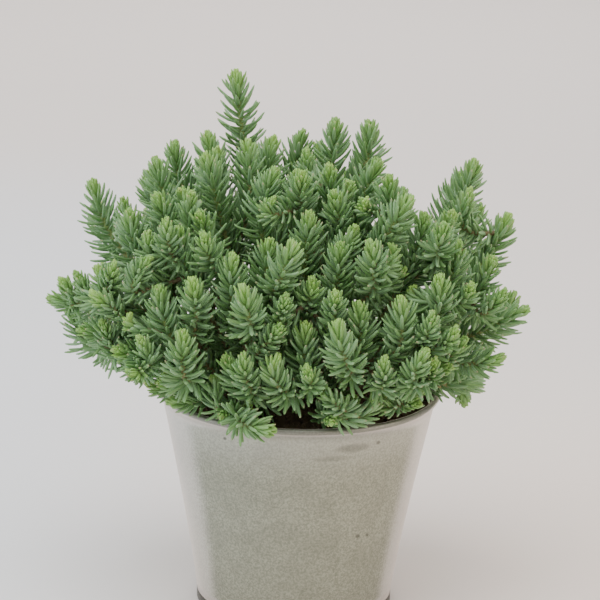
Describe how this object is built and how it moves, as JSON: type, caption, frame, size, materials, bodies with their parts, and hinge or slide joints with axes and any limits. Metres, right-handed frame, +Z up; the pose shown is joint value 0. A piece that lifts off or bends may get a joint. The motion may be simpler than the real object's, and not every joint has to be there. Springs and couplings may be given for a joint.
{
  "type": "potted sedum",
  "caption": "Round flared zinc pot with a rolled rim, filled with soil and a dense cushion of upright sedum shoots with short plump leaves.",
  "frame": {"origin": "centre of the pot's foot, on the surface that it stands on", "axes": "+Z up along the pot's axis, -Y towards the side seen in the picture, +X to that side's right"},
  "size_m": [0.2266, 0.1793, 0.2484],
  "materials": {
    "zinc": "dull galvanised zinc, finely mottled",
    "zinc_foot": "dull dark zinc",
    "soil": "rough dark potting soil",
    "sedum": "satin, waxy blue-green leaves"
  },
  "bodies": {
    "root": {"pot_wall": "zinc", "pot_base": "zinc_foot", "soil": "soil", "stem_01": "sedum", "stem_02": "sedum", "stem_03": "sedum", "stem_04": "sedum", "stem_05": "sedum", "stem_06": "sedum", "stem_07": "sedum", "stem_08": "sedum", "stem_09": "sedum", "stem_10": "sedum", "stem_11": "sedum", "stem_12": "sedum", "stem_13": "sedum", "stem_14": "sedum", "stem_15": "sedum", "stem_16": "sedum", "stem_17": "sedum", "stem_18": "sedum", "stem_19": "sedum", "stem_20": "sedum", "stem_21": "sedum", "stem_22": "sedum", "stem_23": "sedum", "stem_24": "sedum", "stem_25": "sedum", "stem_26": "sedum", "stem_27": "sedum", "stem_28": "sedum", "stem_29": "sedum", "stem_30": "sedum", "stem_31": "sedum", "stem_32": "sedum", "stem_33": "sedum", "stem_34": "sedum", "stem_35": "sedum", "stem_36": "sedum", "stem_37": "sedum", "stem_38": "sedum", "stem_39": "sedum", "stem_40": "sedum", "stem_41": "sedum", "stem_42": "sedum", "stem_43": "sedum", "stem_44": "sedum", "stem_45": "sedum", "stem_46": "sedum", "stem_47": "sedum", "stem_48": "sedum", "stem_49": "sedum", "stem_50": "sedum", "stem_51": "sedum", "stem_52": "sedum", "stem_53": "sedum", "stem_54": "sedum"}
  },
  "joints": []
}
